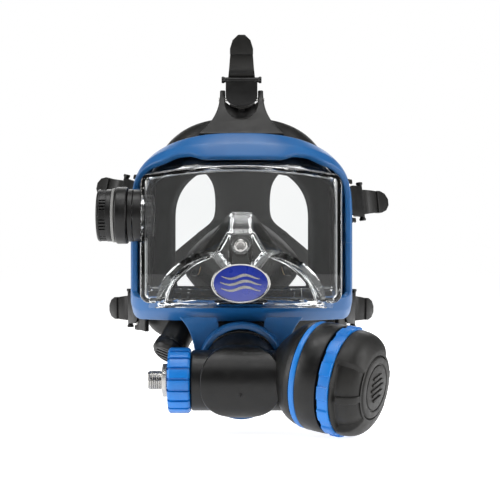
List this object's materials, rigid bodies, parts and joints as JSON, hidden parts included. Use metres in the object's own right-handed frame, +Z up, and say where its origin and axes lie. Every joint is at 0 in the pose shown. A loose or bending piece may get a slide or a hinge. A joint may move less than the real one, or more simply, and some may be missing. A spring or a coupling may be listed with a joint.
{
  "type": "full-face diving mask",
  "caption": "Full-face diving mask with clear visor, head harness, ambient breathing valve and chin-mounted demand regulator with purge cover.",
  "frame": {"origin": "middle of the face seal, on the mask's centre plane", "axes": "+Z up, -Y the way the wearer looks, +X to the wearer's left"},
  "size_m": [0.2385, 0.2467, 0.2967],
  "materials": {
    "clear": "clear polycarbonate",
    "blue": "satin",
    "bright_blue": "satin",
    "black": "satin",
    "rubber": "matte",
    "cup": "matte",
    "silicone": "matte",
    "steel": "polished",
    "brass": "machined",
    "badge": "glossy",
    "pale": "matte"
  },
  "bodies": {
    "mask": {"visor_lens": "clear", "frame_upper": "blue", "frame_lower": "blue", "frame_screw_left": "steel", "frame_screw_right": "steel", "abv_spring": "steel", "chin_clamp": "steel", "inlet_lock_nut": "steel", "inlet_fitting": "steel", "lever_pin": "steel", "poppet_spring": "steel", "purge_spring": "steel", "face_skirt": "rubber", "neck_o_ring": "rubber", "harness_spider": "rubber", "oral_nasal_cup": "cup", "check_valve_seat_left": "black", "check_valve_seat_right": "black", "abv_base": "black", "abv_inner_nut": "black", "abv_housing_ring": "black", "regulator_body": "black", "purge_cover": "black", "exhaust_seat": "black", "exhaust_cover": "black", "valve_seat": "silicone", "diaphragm": "silicone", "badge_plate": "badge", "abv_gasket": "pale", "colour_ring": "bright_blue", "retaining_ring": "bright_blue", "valve_barrel": "brass", "buckle_pin_top": "steel", "buckle_pin_temple_right": "steel", "buckle_pin_temple_left": "steel", "buckle_pin_lower_right": "steel", "buckle_pin_lower_left": "steel"},
    "nose_block": {"nose_block_knob": "steel", "nose_block_stem": "steel", "nose_block_pad": "silicone"},
    "abv_cage": {"abv_cage": "black"},
    "abv_disc": {"abv_valve_disc": "silicone"},
    "adjuster": {"adjuster_ring": "bright_blue"},
    "purge_button": {"purge_button": "black"},
    "diaphragm_plate": {"diaphragm_plate": "steel"},
    "lever": {"demand_lever": "steel"},
    "poppet": {"poppet": "brass"},
    "exhaust_flap": {"exhaust_flap": "silicone"},
    "check_flap_left": {"check_valve_flap_left": "silicone"},
    "check_flap_right": {"check_valve_flap_right": "silicone"},
    "buckle_top": {"buckle_top": "black", "strap_tail_top": "rubber"},
    "buckle_temple_right": {"buckle_temple_right": "black", "strap_tail_temple_right": "rubber"},
    "buckle_temple_left": {"buckle_temple_left": "black", "strap_tail_temple_left": "rubber"},
    "buckle_lower_right": {"buckle_lower_right": "black", "strap_tail_lower_right": "rubber"},
    "buckle_lower_left": {"buckle_lower_left": "black", "strap_tail_lower_left": "rubber"}
  },
  "joints": [
    {"name": "nose_block_slide", "type": "slide", "parent": "mask", "child": "nose_block", "axis": [0, -1, 0], "range_m": [0, 0.003]},
    {"name": "abv_turn", "type": "hinge", "parent": "mask", "child": "abv_cage", "pos_m": [-0.1, -0.054, 0.009], "axis": [-1, 0, 0], "range_deg": [0, 120]},
    {"name": "abv_disc_lift", "type": "slide", "parent": "mask", "child": "abv_disc", "axis": [-1, 0, 0], "range_m": [0, 0.003], "deforming": ["abv_spring"]},
    {"name": "adjuster_turn", "type": "hinge", "parent": "mask", "child": "adjuster", "pos_m": [-0.044, -0.08, -0.11], "axis": [1, 0, 0], "range_deg": [0, 270]},
    {"name": "purge_press", "type": "slide", "parent": "mask", "child": "purge_button", "axis": [-0.8658, 0.4804, 0.1401], "range_m": [0, 0.003], "stiffness_N_per_m": 400, "deforming": ["purge_spring"]},
    {"name": "diaphragm_move", "type": "slide", "parent": "mask", "child": "diaphragm_plate", "axis": [-0.8658, 0.4804, 0.1401], "range_m": [0, 0.003], "deforming": ["diaphragm"]},
    {"name": "lever_tilt", "type": "hinge", "parent": "mask", "child": "lever", "pos_m": [0.038, -0.093, -0.109], "axis": [0, 0, 1], "range_deg": [0, 12]},
    {"name": "poppet_open", "type": "slide", "parent": "mask", "child": "poppet", "axis": [-1, 0, 0], "range_m": [0, 0.0027], "deforming": ["poppet_spring"]},
    {"name": "exhaust_lift", "type": "slide", "parent": "mask", "child": "exhaust_flap", "axis": [-0.4192, -0.499, -0.7585], "range_m": [0, 0.003], "stiffness_N_per_m": 30},
    {"name": "check_lift_left", "type": "slide", "parent": "mask", "child": "check_flap_left", "axis": [0.9355, 0.332, -0.1207], "range_m": [0, 0.002], "stiffness_N_per_m": 30},
    {"name": "check_lift_right", "type": "slide", "parent": "mask", "child": "check_flap_right", "axis": [-0.9355, 0.332, -0.1207], "range_m": [0, 0.002], "stiffness_N_per_m": 30},
    {"name": "buckle_top_pivot", "type": "hinge", "parent": "mask", "child": "buckle_top", "pos_m": [0, -0.014, 0.0995], "axis": [1, 0, 0], "range_deg": [-5, 14]},
    {"name": "buckle_temple_right_pivot", "type": "hinge", "parent": "mask", "child": "buckle_temple_right", "pos_m": [0.0852, 0.0055, 0.022], "axis": [0.0927, -0.0758, -0.9928], "range_deg": [-5, 14]},
    {"name": "buckle_temple_left_pivot", "type": "hinge", "parent": "mask", "child": "buckle_temple_left", "pos_m": [-0.0852, 0.0055, 0.0255], "axis": [0.2179, -0.0811, 0.9726], "range_deg": [-5, 14]},
    {"name": "buckle_lower_right_pivot", "type": "hinge", "parent": "mask", "child": "buckle_lower_right", "pos_m": [0.0816, 0.0054, -0.062], "axis": [-0.0279, -0.0535, -0.9982], "range_deg": [-5, 14]},
    {"name": "buckle_lower_left_pivot", "type": "hinge", "parent": "mask", "child": "buckle_lower_left", "pos_m": [-0.0816, 0.0054, -0.062], "axis": [-0.0186, 0.0357, 0.9992], "range_deg": [-5, 14]}
  ],
  "couplings": [
    {"joint": "abv_disc_lift", "follows": "abv_turn", "m_per_rad": 0.0014},
    {"joint": "diaphragm_move", "follows": "purge_press", "ratio": 1},
    {"joint": "lever_tilt", "follows": "purge_press", "rad_per_m": 69},
    {"joint": "poppet_open", "follows": "purge_press", "ratio": 0.9}
  ]
}
